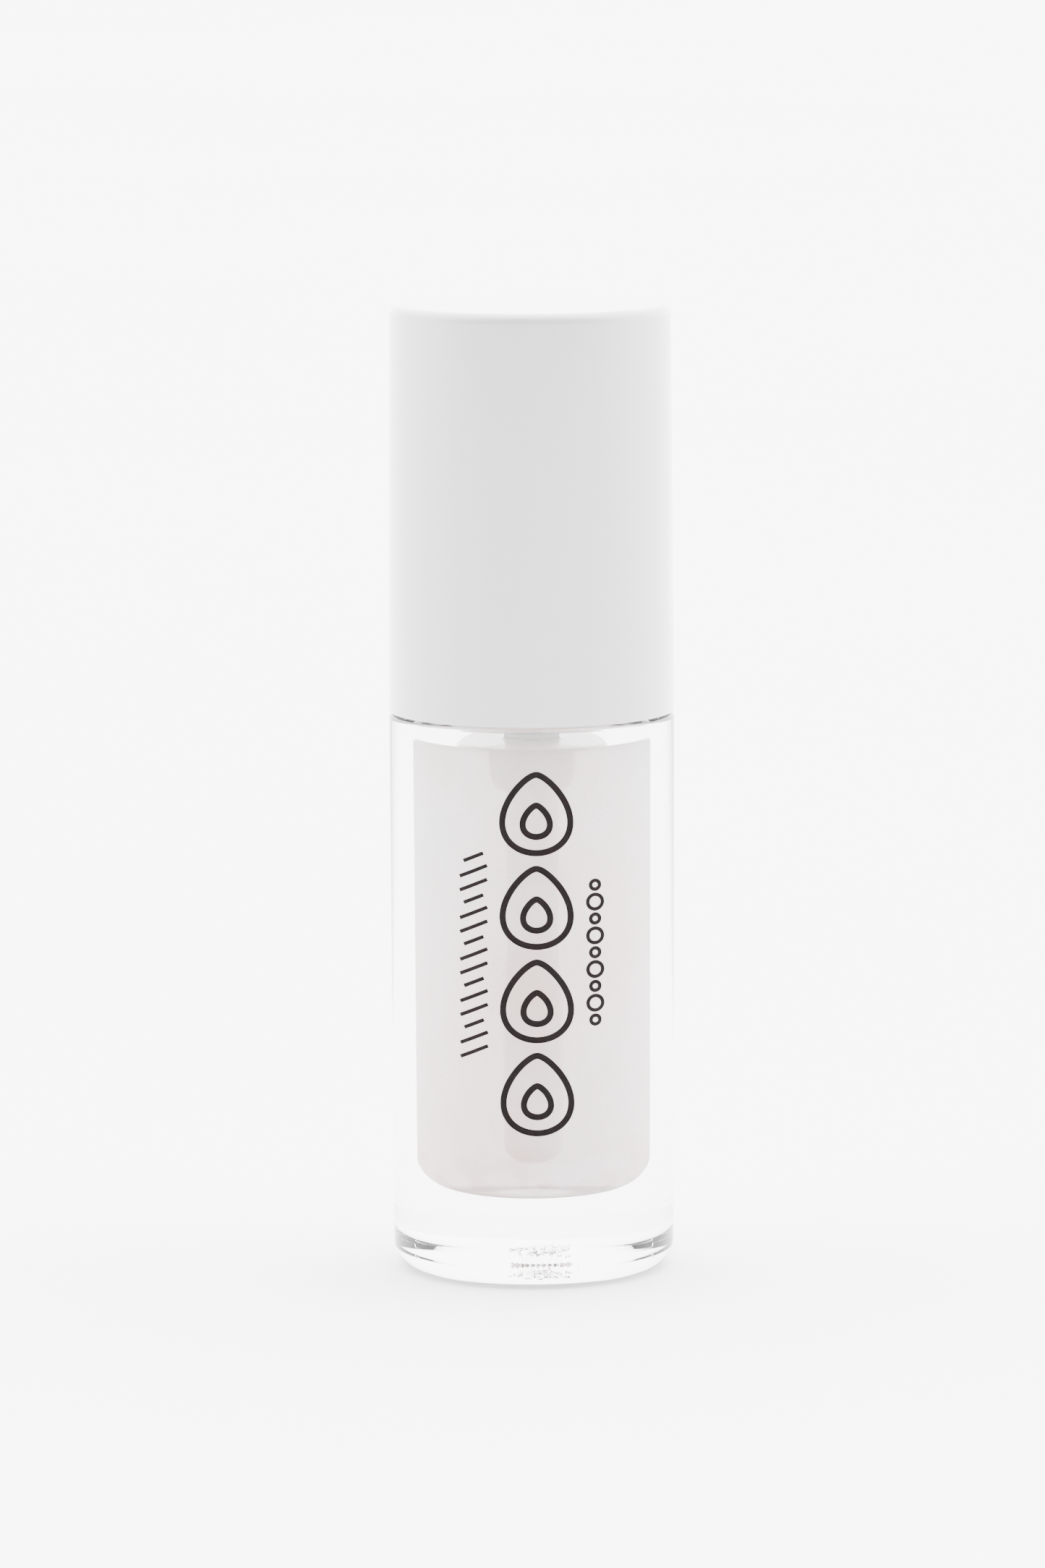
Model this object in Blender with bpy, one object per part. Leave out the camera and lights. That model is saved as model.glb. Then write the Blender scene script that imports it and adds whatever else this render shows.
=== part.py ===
"""Lip gloss tube with a screw cap and wand.

A thick-walled clear bottle holds the gloss. A wiper sits in its neck. The cap is an outer cover
around a threaded insert, which carries the wand: a stem with a flocked applicator at its end.
Metres, +Z up along the tube's axis, origin in the middle of the base. All turned pieces share
that axis, and the cap's thread is right-handed, so a turn anticlockwise from above lifts it.
"""

import math

import bmesh
import bpy
from mathutils import Matrix, Vector

MM = 0.001

# Whole tube
TUBE_RADIUS = 11.0 * MM
TUBE_HEIGHT = 74.7 * MM
SEAM_GAP = 0.3 * MM

# Bottle
FOOT_RADIUS = 10.87 * MM
FOOT_ROUND = 2.0 * MM
SHOULDER_HEIGHT = 43.2 * MM
SHOULDER_ROUND = 0.3 * MM
CAVITY_RADIUS = 6.0 * MM
CAVITY_FLOOR = 6.25 * MM
CAVITY_FLOOR_RISE = 0.35 * MM
CAVITY_FLOOR_ROUND = 2.3 * MM
CAVITY_DRAFT = 0.12 * MM
RECESS_HEIGHT = 0.95 * MM
RECESS_RADIUS = 8.4 * MM
RECESS_ROUND = 0.5 * MM

# Neck and thread
NECK_RADIUS = 7.3 * MM
NECK_TOP = 54.0 * MM
THREAD_PITCH = 3.0 * MM
THREAD_TURNS = 1.5
THREAD_START = 46.6 * MM
THREAD_HEIGHT = 0.7 * MM
THREAD_ROOT_HALF = 0.72 * MM
THREAD_CREST_HALF = 0.35 * MM
THREAD_BITE = 0.35 * MM
THREAD_FADE = 0.09
THREAD_SINK = 0.3

# Wiper
WIPER_PLAY = 0.1 * MM
WIPER_FLANGE_RADIUS = 7.1 * MM
WIPER_FLANGE = 0.8 * MM
WIPER_CUP_WALL = 0.8 * MM
WIPER_CUP_FLOOR = 43.6 * MM
WIPER_EDGE = 0.25 * MM
WIPER_NOZZLE_RADIUS = 2.1 * MM
WIPER_NOZZLE_WALL = 0.4 * MM
WIPER_ORIFICE = 1.55 * MM
WIPER_DROP = 6.0 * MM
WIPER_LIP = 0.2 * MM
WIPER_TAPER = 1.9 * MM

# Gloss
GLOSS_TOP = 41.2 * MM
GLOSS_PLAY = 0.1 * MM
GLOSS_EDGE = 0.2 * MM
GLOSS_WELL = 2.45 * MM
WELL_FLOOR = 7.4 * MM

# Wand
STEM_RADIUS = 1.25 * MM
STEM_END = 22.5 * MM
STEM_COLLAR_RADIUS = 2.5 * MM
STEM_COLLAR = 0.7 * MM
STEM_HEAD_RADIUS = 2.0 * MM
STEM_HEAD_CHAMFER = 0.3 * MM
SHANK_RADIUS = 0.7 * MM
SHANK_LENGTH = 4.6 * MM
SHANK_PLAY = 0.1 * MM
FLOCK_TOP = 22.1 * MM
FLOCK_TIP = 8.6 * MM
FLOCK_RADIUS = 1.4 * MM
FLOCK_THICKNESS = 0.35 * MM
FLOCK_PLAY = 0.1 * MM
SLANT_START = 18.0 * MM
SLANT_DEPTH = 0.5

# Sealing gasket
GASKET_INNER = 5.3 * MM
GASKET_OUTER = 7.3 * MM
GASKET_THICKNESS = 1.0 * MM
REST_GAP = 0.3 * MM

# Inner cap
INSERT_BORE = 8.3 * MM
INSERT_RADIUS = 9.1 * MM
INSERT_FLANGE_RADIUS = 9.45 * MM
INSERT_FLANGE = 1.2 * MM
INSERT_FOOT = 45.0 * MM
INSERT_ROOF = 1.4 * MM
INSERT_RIBS = 12
RIB_WIDTH = 1.0 * MM
RIB_BITE = 0.3 * MM
RIB_INSET = 0.05 * MM
BOSS_RADIUS = 3.3 * MM
BOSS_PLAY = 0.1 * MM
BOSS_HEIGHT = 9.0 * MM
BOSS_ROOF = 1.0 * MM

# Outer cap
CAP_TOP_RADIUS = 10.8 * MM
CAP_TOP_ROUND = 0.8 * MM
CAP_LIP_ROUND = 0.2 * MM
CAP_BORE = 9.65 * MM
CAP_ROOF = 2.0 * MM
BEAD_HEIGHT = 0.3 * MM
BEAD_WIDTH = 0.5 * MM

# Facets around each kind of piece
WIDE_SIDES = 48
SLIM_SIDES = 24
TIP_SIDES = 16
ROUND_STEPS = 4

WIPER_FLOOR = WIPER_CUP_FLOOR - WIPER_DROP
WIPER_TOP = NECK_TOP + WIPER_PLAY + WIPER_FLANGE
GASKET_FLOOR = WIPER_TOP + REST_GAP
INSERT_CEILING = GASKET_FLOOR + GASKET_THICKNESS + REST_GAP
BOSS_CEILING = INSERT_CEILING + BOSS_HEIGHT


def clear_scene():
    for item in list(bpy.data.objects):
        bpy.data.objects.remove(item, do_unlink=True)


def material(name, color, roughness, transmission=0.0):
    made = bpy.data.materials.new(name)
    made.use_nodes = True
    shader = made.node_tree.nodes["Principled BSDF"]
    shader.inputs["Base Color"].default_value = (*color, 1.0)
    shader.inputs["Roughness"].default_value = roughness
    shader.inputs["Transmission Weight"].default_value = transmission
    shader.inputs["Metallic"].default_value = 0.0
    return made


def arc(center_radius, center_height, radius, start_degrees, end_degrees, steps=ROUND_STEPS):
    """Points of a quarter round in the (radius, height) plane, both ends included."""
    points = []
    for step in range(steps + 1):
        angle = math.radians(start_degrees + (end_degrees - start_degrees) * step / steps)
        points.append((center_radius + radius * math.cos(angle),
                       center_height + radius * math.sin(angle)))
    return points


def turned(name, profile, sides, finish):
    """Turn a closed (radius, height) outline about Z. A point at radius 0 becomes a pole.

    The outline runs with the solid on its left, so its outer side is followed upwards.
    """
    mesh = bpy.data.meshes.new(name)
    shape = bmesh.new()
    rings = []
    for radius, height in profile:
        if radius == 0.0:
            rings.append([shape.verts.new((0.0, 0.0, height))])
            continue
        ring = []
        for side in range(sides):
            angle = math.tau * side / sides
            ring.append(shape.verts.new((radius * math.cos(angle), radius * math.sin(angle), height)))
        rings.append(ring)
    for index, lower in enumerate(rings):
        upper = rings[(index + 1) % len(rings)]
        if len(lower) == 1 and len(upper) == 1:
            continue
        for side in range(sides):
            after = (side + 1) % sides
            if len(lower) == 1:
                corners = (lower[0], upper[after], upper[side])
            elif len(upper) == 1:
                corners = (lower[side], lower[after], upper[0])
            else:
                corners = (lower[side], lower[after], upper[after], upper[side])
            shape.faces.new(corners)
    shape.to_mesh(mesh)
    shape.free()
    mesh.materials.append(finish)
    mesh.shade_smooth()
    mesh.set_sharp_from_angle(angle=math.radians(35))
    made = bpy.data.objects.new(name, mesh)
    bpy.context.collection.objects.link(made)
    return made


def helix_ridge(name, root_radius, crest_radius, start_height, finish):
    """Right-hand thread ridge with its root sunk in the wall. It sinks into the wall at each end."""
    rise = crest_radius - root_radius
    base_radius = root_radius - THREAD_BITE if rise > 0.0 else root_radius + THREAD_BITE
    flank = (THREAD_ROOT_HALF - THREAD_CREST_HALF) / THREAD_HEIGHT
    base_half = THREAD_ROOT_HALF + flank * THREAD_BITE
    steps = round(THREAD_TURNS * WIDE_SIDES)
    mesh = bpy.data.meshes.new(name)
    shape = bmesh.new()
    sections = []
    for step in range(steps + 1):
        part = step / steps
        height_share = min(1.0, part / THREAD_FADE - THREAD_SINK, (1.0 - part) / THREAD_FADE - THREAD_SINK)
        crest = root_radius + rise * height_share
        angle = math.tau * step / WIDE_SIDES
        height = start_height + THREAD_PITCH * step / WIDE_SIDES
        corners = ((base_radius, base_half), (crest, THREAD_CREST_HALF),
                   (crest, -THREAD_CREST_HALF), (base_radius, -base_half))
        section = []
        for radius, offset in corners:
            section.append(shape.verts.new((radius * math.cos(angle), radius * math.sin(angle),
                                            height + offset)))
        sections.append(section)
    for first, second in zip(sections, sections[1:]):
        for index in range(len(first)):
            after = (index + 1) % len(first)
            shape.faces.new((first[index], first[after], second[after], second[index]))
    shape.faces.new(sections[0])
    shape.faces.new(sections[-1])
    bmesh.ops.recalc_face_normals(shape, faces=shape.faces)
    shape.to_mesh(mesh)
    shape.free()
    mesh.materials.append(finish)
    made = bpy.data.objects.new(name, mesh)
    bpy.context.collection.objects.link(made)
    return made


def rib_ring(name, inner_radius, outer_radius, floor, ceiling, finish):
    """Upright ribs evenly spaced around the axis, in one mesh."""
    mesh = bpy.data.meshes.new(name)
    shape = bmesh.new()
    size = Vector((outer_radius - inner_radius, RIB_WIDTH, ceiling - floor))
    center = Vector(((inner_radius + outer_radius) / 2, 0.0, (floor + ceiling) / 2))
    for rib in range(INSERT_RIBS):
        turn = Matrix.Rotation(math.tau * (rib + 0.5) / INSERT_RIBS, 4, "Z")
        place = turn @ Matrix.Translation(center) @ Matrix.Diagonal((*size, 1.0))
        bmesh.ops.create_cube(shape, size=1.0, matrix=place)
    shape.to_mesh(mesh)
    shape.free()
    mesh.materials.append(finish)
    made = bpy.data.objects.new(name, mesh)
    bpy.context.collection.objects.link(made)
    return made


def union(target, helper):
    """Join a helper to a piece. The helper stays as a wire guide and isn't a piece itself."""
    join = target.modifiers.new(helper.name, "BOOLEAN")
    join.operation = "UNION"
    join.solver = "EXACT"
    join.object = helper
    helper.hide_render = True
    helper.display_type = "WIRE"


def slant(piece):
    """Flatten one side of the applicator towards its tip, as a doe-foot applicator is."""
    for vertex in piece.data.vertices:
        drop = (SLANT_START - vertex.co.z) / (SLANT_START - FLOCK_TIP)
        if drop > 0.0 and vertex.co.y < 0.0:
            vertex.co.y *= 1.0 - SLANT_DEPTH * drop


def build_bottle():
    clear = material("clear copolyester", (0.97, 0.97, 0.98), 0.03, transmission=1.0)
    profile = [(0.0, RECESS_HEIGHT)]
    profile += arc(RECESS_RADIUS - RECESS_ROUND, RECESS_HEIGHT - RECESS_ROUND, RECESS_ROUND, 90, 0)
    profile.append((RECESS_RADIUS, 0.0))
    profile += arc(FOOT_RADIUS - FOOT_ROUND, FOOT_ROUND, FOOT_ROUND, -90, 0)
    profile += arc(TUBE_RADIUS - SHOULDER_ROUND, SHOULDER_HEIGHT - SHOULDER_ROUND, SHOULDER_ROUND, 0, 90)
    profile.append((NECK_RADIUS, SHOULDER_HEIGHT))
    profile.append((NECK_RADIUS, NECK_TOP))
    profile.append((CAVITY_RADIUS, NECK_TOP))
    profile.append((CAVITY_RADIUS, SHOULDER_HEIGHT))
    profile += cavity_floor(0.0)
    bottle = turned("bottle", profile, WIDE_SIDES, clear)
    ridge = helix_ridge("bottle thread", NECK_RADIUS, NECK_RADIUS + THREAD_HEIGHT, THREAD_START, clear)
    union(bottle, ridge)


def cavity_floor(play):
    """Dished floor of the cavity, from its drafted wall to the axis, or of what lies in it with play."""
    wall = CAVITY_RADIUS - CAVITY_DRAFT - play
    round_radius = CAVITY_FLOOR_ROUND - play
    points = arc(wall - round_radius, CAVITY_FLOOR + CAVITY_FLOOR_ROUND, round_radius, 0, -90)
    points.append((0.0, CAVITY_FLOOR + CAVITY_FLOOR_RISE + play))
    return points


def build_gloss():
    pearl = material("pearl gloss", (0.83, 0.74, 0.71), 0.25, transmission=0.4)
    wall = CAVITY_RADIUS - GLOSS_PLAY
    profile = list(reversed(cavity_floor(GLOSS_PLAY)))
    profile += [(wall, GLOSS_TOP - GLOSS_EDGE), (wall - GLOSS_EDGE, GLOSS_TOP)]
    profile.append((GLOSS_WELL, GLOSS_TOP))
    profile.append((GLOSS_WELL, WELL_FLOOR))
    profile.append((0.0, WELL_FLOOR))
    turned("lip_oil", profile, WIDE_SIDES, pearl)


def build_wiper():
    frosted = material("natural polyethylene", (0.9, 0.9, 0.88), 0.4, transmission=0.2)
    cup_radius = CAVITY_RADIUS - WIPER_PLAY
    cup_bore = cup_radius - WIPER_CUP_WALL
    cup_roof = WIPER_CUP_FLOOR + WIPER_CUP_WALL
    flange_floor = NECK_TOP + WIPER_PLAY
    profile = [
        (WIPER_ORIFICE, WIPER_FLOOR),
        (WIPER_ORIFICE + WIPER_LIP, WIPER_FLOOR),
        (WIPER_NOZZLE_RADIUS, WIPER_FLOOR + WIPER_TAPER),
        (WIPER_NOZZLE_RADIUS, WIPER_CUP_FLOOR),
        (cup_radius - WIPER_EDGE, WIPER_CUP_FLOOR),
        (cup_radius, WIPER_CUP_FLOOR + WIPER_EDGE),
        (cup_radius, flange_floor),
        (WIPER_FLANGE_RADIUS, flange_floor),
        (WIPER_FLANGE_RADIUS, WIPER_TOP),
        (cup_bore, WIPER_TOP),
        (cup_bore, cup_roof),
        (WIPER_NOZZLE_RADIUS, cup_roof),
        (WIPER_NOZZLE_RADIUS - WIPER_NOZZLE_WALL, WIPER_CUP_FLOOR),
        (WIPER_NOZZLE_RADIUS - WIPER_NOZZLE_WALL, WIPER_FLOOR + WIPER_TAPER),
    ]
    turned("wiper", profile, WIDE_SIDES, frosted)


def build_gasket():
    foam = material("foamed polyethylene", (0.93, 0.93, 0.92), 0.7)
    profile = [
        (GASKET_INNER, GASKET_FLOOR),
        (GASKET_OUTER, GASKET_FLOOR),
        (GASKET_OUTER, GASKET_FLOOR + GASKET_THICKNESS),
        (GASKET_INNER, GASKET_FLOOR + GASKET_THICKNESS),
    ]
    turned("sealing_gasket", profile, WIDE_SIDES, foam)


def build_stem():
    white = material("white polypropylene", (0.9, 0.9, 0.89), 0.35)
    socket_radius = SHANK_RADIUS + SHANK_PLAY
    socket_roof = STEM_END + SHANK_LENGTH + REST_GAP
    collar_top = INSERT_CEILING - REST_GAP
    collar_floor = collar_top - STEM_COLLAR
    head_top = BOSS_CEILING - REST_GAP
    profile = [
        (0.0, socket_roof),
        (socket_radius, socket_roof),
        (socket_radius, STEM_END),
        (STEM_RADIUS, STEM_END),
        (STEM_RADIUS, collar_floor),
        (STEM_COLLAR_RADIUS, collar_floor),
        (STEM_COLLAR_RADIUS, collar_top),
        (STEM_HEAD_RADIUS, collar_top),
        (STEM_HEAD_RADIUS, head_top - STEM_HEAD_CHAMFER),
        (STEM_HEAD_RADIUS - STEM_HEAD_CHAMFER, head_top),
        (0.0, head_top),
    ]
    turned("wand_stem", profile, SLIM_SIDES, white)


def build_applicator():
    core_finish = material("soft applicator core", (0.88, 0.86, 0.84), 0.5)
    flock_finish = material("pale flocking", (0.92, 0.88, 0.86), 0.95)
    inner_radius = FLOCK_RADIUS - FLOCK_THICKNESS
    core_radius = inner_radius - FLOCK_PLAY
    tip_center = FLOCK_TIP + FLOCK_RADIUS
    neck_floor = FLOCK_TOP + FLOCK_PLAY
    neck_top = STEM_END - FLOCK_PLAY

    profile = [(0.0, tip_center - core_radius)]
    profile += arc(0.0, tip_center, core_radius, -90, 0)[1:]
    profile += [
        (core_radius, SLANT_START),
        (core_radius, neck_floor),
        (STEM_RADIUS, neck_floor),
        (STEM_RADIUS, neck_top),
        (SHANK_RADIUS, neck_top),
        (SHANK_RADIUS, STEM_END + SHANK_LENGTH),
        (0.0, STEM_END + SHANK_LENGTH),
    ]
    slant(turned("applicator_core", profile, TIP_SIDES, core_finish))

    profile = [(0.0, FLOCK_TIP)]
    profile += arc(0.0, tip_center, FLOCK_RADIUS, -90, 0)[1:]
    profile += [
        (FLOCK_RADIUS, SLANT_START),
        (FLOCK_RADIUS, FLOCK_TOP),
        (inner_radius, FLOCK_TOP),
        (inner_radius, SLANT_START),
    ]
    profile += arc(0.0, tip_center, inner_radius, 0, -90)[:-1]
    profile.append((0.0, tip_center - inner_radius))
    slant(turned("applicator_flock", profile, TIP_SIDES, flock_finish))


def build_inner_cap():
    white = material("white polypropylene insert", (0.88, 0.88, 0.87), 0.4)
    roof = INSERT_CEILING + INSERT_ROOF
    profile = [
        (INSERT_BORE, INSERT_FOOT),
        (INSERT_FLANGE_RADIUS, INSERT_FOOT),
        (INSERT_FLANGE_RADIUS, INSERT_FOOT + INSERT_FLANGE),
        (INSERT_RADIUS, INSERT_FOOT + INSERT_FLANGE),
        (INSERT_RADIUS, roof),
        (BOSS_RADIUS, roof),
        (BOSS_RADIUS, BOSS_CEILING + BOSS_ROOF),
        (0.0, BOSS_CEILING + BOSS_ROOF),
        (0.0, BOSS_CEILING),
        (STEM_HEAD_RADIUS + BOSS_PLAY, BOSS_CEILING),
        (STEM_HEAD_RADIUS + BOSS_PLAY, INSERT_CEILING),
        (INSERT_BORE, INSERT_CEILING),
    ]
    inner_cap = turned("inner_cap", profile, WIDE_SIDES, white)
    ridge_start = THREAD_START + THREAD_PITCH / 2
    union(inner_cap, helix_ridge("cap thread", INSERT_BORE, INSERT_BORE - THREAD_HEIGHT, ridge_start, white))
    ribs = rib_ring("insert ribs", INSERT_RADIUS - RIB_BITE, INSERT_FLANGE_RADIUS - RIB_INSET,
                    INSERT_FOOT + INSERT_FLANGE - RIB_BITE, roof - RIB_INSET, white)
    union(inner_cap, ribs)


def build_outer_cap():
    pale = material("pale grey cap", (0.78, 0.77, 0.79), 0.3)
    lip = SHOULDER_HEIGHT + SEAM_GAP
    bead_center = INSERT_FOOT - SEAM_GAP - BEAD_WIDTH / 2
    profile = [(CAP_BORE, lip)]
    profile += arc(TUBE_RADIUS - CAP_LIP_ROUND, lip + CAP_LIP_ROUND, CAP_LIP_ROUND, -90, 0, steps=2)
    profile += arc(CAP_TOP_RADIUS - CAP_TOP_ROUND, TUBE_HEIGHT - CAP_TOP_ROUND, CAP_TOP_ROUND, 0, 90)
    profile += [
        (0.0, TUBE_HEIGHT),
        (0.0, TUBE_HEIGHT - CAP_ROOF),
        (CAP_BORE - CAP_TOP_ROUND, TUBE_HEIGHT - CAP_ROOF),
        (CAP_BORE, TUBE_HEIGHT - CAP_ROOF - CAP_TOP_ROUND),
        (CAP_BORE, bead_center + BEAD_WIDTH / 2),
        (CAP_BORE - BEAD_HEIGHT, bead_center),
        (CAP_BORE, bead_center - BEAD_WIDTH / 2),
    ]
    turned("outer_cap", profile, WIDE_SIDES, pale)


def build():
    clear_scene()
    build_bottle()
    build_gloss()
    build_wiper()
    build_gasket()
    build_stem()
    build_applicator()
    build_inner_cap()
    build_outer_cap()


build()
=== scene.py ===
"""Looks of the lip gloss tube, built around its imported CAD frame.

Every turned piece is remade finely on the tube's axis, from sizes read off the frame's boxes.
Lengths are in metres and the tube stands on the floor with its front towards -Y.
"""

import math
from random import Random

import bmesh
import bpy
from mathutils import Matrix, Vector, noise


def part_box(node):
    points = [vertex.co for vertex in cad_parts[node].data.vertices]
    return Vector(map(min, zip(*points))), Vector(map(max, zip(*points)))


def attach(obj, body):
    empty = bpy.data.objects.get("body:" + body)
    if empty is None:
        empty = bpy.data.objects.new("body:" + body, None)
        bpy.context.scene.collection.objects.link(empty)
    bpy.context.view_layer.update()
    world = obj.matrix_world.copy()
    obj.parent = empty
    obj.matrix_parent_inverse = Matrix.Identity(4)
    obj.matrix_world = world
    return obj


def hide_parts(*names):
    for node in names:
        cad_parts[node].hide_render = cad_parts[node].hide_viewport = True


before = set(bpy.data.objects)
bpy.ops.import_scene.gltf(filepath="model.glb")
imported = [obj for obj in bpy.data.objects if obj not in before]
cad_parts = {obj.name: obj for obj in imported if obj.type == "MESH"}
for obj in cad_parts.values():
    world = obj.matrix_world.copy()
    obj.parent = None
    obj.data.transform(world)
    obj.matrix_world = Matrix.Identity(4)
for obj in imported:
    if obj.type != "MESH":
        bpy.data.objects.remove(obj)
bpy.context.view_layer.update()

MM = 0.001
CLEAR_SIDES = 256
PLAIN_SIDES = 160
SLIM_SIDES = 96
RIBBED_SIDES = 288


def top(node):
    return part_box(node)[1].z


def floor(node):
    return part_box(node)[0].z


def radius(node):
    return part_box(node)[1].x


# Sizes that the frame gives
TUBE_RADIUS = radius("bottle")
CAP_TOP = top("outer_cap")
NECK_TOP = top("bottle")
GLOSS_TOP = top("lip_oil")
WIPER_TIP = floor("wiper")
WIPER_TOP = top("wiper")
WIPER_FLANGE_RADIUS = radius("wiper")
FLOCK_TIP = floor("applicator_flock")
FLOCK_TOP = top("applicator_flock")
FLOCK_RADIUS = radius("applicator_flock")
CORE_RADIUS = radius("applicator_core")
CORE_TOP = top("applicator_core")
GASKET_FLOOR = floor("sealing_gasket")
GASKET_TOP = top("sealing_gasket")
GASKET_RADIUS = radius("sealing_gasket")
INSERT_FOOT = floor("inner_cap")
INSERT_TOP = top("inner_cap")
INSERT_FLANGE_RADIUS = radius("inner_cap")
COLLAR_RADIUS = radius("wand_stem")
STEM_END = floor("wand_stem")
STEM_TOP = top("wand_stem")

# Sizes that the boxes don't show
SEAM = 0.15 * MM
SHOULDER = 43.2 * MM
FOOT_RADIUS = 10.87 * MM
FOOT_ROUND = 2.0 * MM
RECESS = 0.95 * MM
RECESS_RADIUS = 8.1 * MM
RECESS_EDGE = 0.5 * MM
CAVITY_RADIUS = 6.0 * MM
CAVITY_FLOOR = 6.25 * MM
CAVITY_DRAFT = 0.12 * MM
CAVITY_ROUND = 2.3 * MM
CAVITY_RISE = 0.35 * MM
CAVITY_STEP = 0.001 * MM
FILL_PLAY = 0.01 * MM
GLOSS_EDGE = 0.45 * MM
GATE_RADIUS = 2.05 * MM
GATE_OFFSET = 0.33 * MM
GATE_LIFT = 0.75 * MM
GATE_HEIGHT = 0.4 * MM
GATE_EDGE = 0.4 * MM
GATE_GRAIN = 1500.0
NECK_RADIUS = 7.3 * MM
THREAD_PITCH = 3.0 * MM
THREAD_TURNS = 1.5
THREAD_START = 46.6 * MM
THREAD_HEIGHT = 0.7 * MM
THREAD_ROOT_HALF = 0.72 * MM
THREAD_CREST_HALF = 0.35 * MM
THREAD_FADE = 0.14
WIPER_CUP_FLOOR = 43.6 * MM
WIPER_WALL = 0.8 * MM
NOZZLE_RADIUS = 2.1 * MM
NOZZLE_TAPER = 1.9 * MM
ORIFICE = 1.55 * MM
STEM_RADIUS = 1.25 * MM
STEM_HEAD_RADIUS = 2.0 * MM
STEM_COLLAR = 0.7 * MM
SHANK_RADIUS = 0.7 * MM
FLOCK_THICKNESS = 0.35 * MM
FIBRES = 5200
FIBRE_LENGTHS = (0.09 * MM, 0.15 * MM)
FIBRE_RADIUS = 0.012 * MM
FIBRE_ROOT = 0.02 * MM
FIBRE_LEAN = 0.5
SLANT_START = 18.0 * MM
SLANT_DEPTH = 0.5
GASKET_INNER = 5.3 * MM
INSERT_BORE = 8.3 * MM
INSERT_RADIUS = 9.1 * MM
INSERT_FLANGE = 1.2 * MM
INSERT_ROOF = 1.4 * MM
INSERT_RIBS = 12
RIB_HALF_WIDTH = 0.5 * MM
RIB_HEIGHT = 0.3 * MM
RIB_FLANK = 0.16 * MM
BOSS_RADIUS = 3.3 * MM
CAP_TOP_RADIUS = 10.8 * MM
CAP_TOP_ROUND = 0.8 * MM
CAP_BORE = 9.65 * MM
CAP_ROOF = 2.0 * MM
BEAD_HEIGHT = 0.3 * MM
GROOVE_DEPTH = 0.06 * MM
SNAP_GROOVES = 3
SNAP_GROOVE_DEPTH = 0.15 * MM
REST_GAP = 0.3 * MM
INSERT_CEILING = GASKET_TOP + REST_GAP

# Smooth shading breaks at edges sharper than this
SHARP_EDGE = math.radians(30)

# Refractive indices. The wall beside the fill and the fill share one near 1, so that the thin
# gap between their two meshes doesn't show.
CLEAR_IOR = 1.54
MATCHED_IOR = 1.01
GLOSS_IOR = 1.46

# Brightness of the surroundings
FRONT_LIGHT = 0.5
BACK_LIGHT = 10.0
TOP_SHARE = 1.6
SIDE_SHARES = (0.88, 1.12)

# Camera, with its target on the tube's axis apart from a small shift sideways
LENS = 175.1
SENSOR_WIDTH = 36.0
CAMERA_ELEVATION = math.radians(7.81)
CAMERA_ROLL = math.radians(-0.26)
CAMERA_DISTANCE = 0.589
CAMERA_TARGET = Vector((-0.73 * MM, 0.0, 37.6 * MM))

# Floor, just below the tube so that the two faces don't meet
FLOOR_RADIUS = 8.0
FLOOR_GAP = 0.02 * MM

# Printed ornament on the front wall
INK_GAP = 0.005 * MM
INK_TOP = 0.03 * MM
BOLD_STROKE = 0.48 * MM
FINE_STROKE = 0.28 * MM
PRINT_MIDDLE = 0.3 * MM
PRINT_TOP = 39.8 * MM
DROPS = 4
DROP_HALF_WIDTH = 2.6 * MM
DROP_HALF_HEIGHT = 3.0 * MM
DROP_SPACE = 1.2 * MM
DASHES = 15
DASH_MIDDLE = -4.5 * MM
DASH_TOP = 33.4 * MM
DASH_STEP = 1.07 * MM
INNER_DROP_SHARE = 0.4
INNER_DROP_FALL = 0.55 * MM
DASH_REACHES = (0.75 * MM, 1.05 * MM, 1.05 * MM)
DASH_SLOPE = 0.45
RINGS = 9
RING_MIDDLE = 4.75 * MM
RING_TOP = 31.2 * MM
RING_STEP = 1.3 * MM
RING_SIZES = (0.34 * MM, 0.56 * MM)


# ---------------------------------------------------------------- shapes


def arc(center_radius, center_height, round_radius, start, end, steps=10):
    """Points of a round in the (radius, height) plane, between two angles in degrees."""
    points = []
    for step in range(steps + 1):
        angle = math.radians(start + (end - start) * step / steps)
        points.append((center_radius + round_radius * math.cos(angle),
                       center_height + round_radius * math.sin(angle)))
    return points


def span(start, end, steps):
    """Evenly spaced points between two profile points, without the last."""
    return [tuple(a + (b - a) * step / steps for a, b in zip(start, end)) for step in range(steps)]


def upright(ring_radius, angle, height):
    """Point in space at a radius, an angle about Z and a height."""
    return ring_radius * math.cos(angle), ring_radius * math.sin(angle), height


def turned(name, profile, sides, finish, reshape=None):
    """Turn a closed (radius, height) outline about Z, with the solid on the outline's left.

    A point at radius 0 is a pole. reshape(radius, angle, height) may move each point.
    """
    shape = bmesh.new()
    rings = []
    for ring_radius, height in profile:
        count = 1 if ring_radius == 0.0 else sides
        ring = []
        for side in range(count):
            angle = math.tau * side / sides
            place = (ring_radius, angle, height)
            if reshape:
                place = reshape(*place)
            ring.append(shape.verts.new(upright(*place)))
        rings.append(ring)
    for index, lower in enumerate(rings):
        upper = rings[(index + 1) % len(rings)]
        if len(lower) == 1 and len(upper) == 1:
            continue
        for side in range(sides):
            after = (side + 1) % sides
            if len(lower) == 1:
                corners = (lower[0], upper[after], upper[side])
            elif len(upper) == 1:
                corners = (lower[side], lower[after], upper[0])
            else:
                corners = (lower[side], lower[after], upper[after], upper[side])
            shape.faces.new(corners)
    return finished(name, shape, finish)


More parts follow.
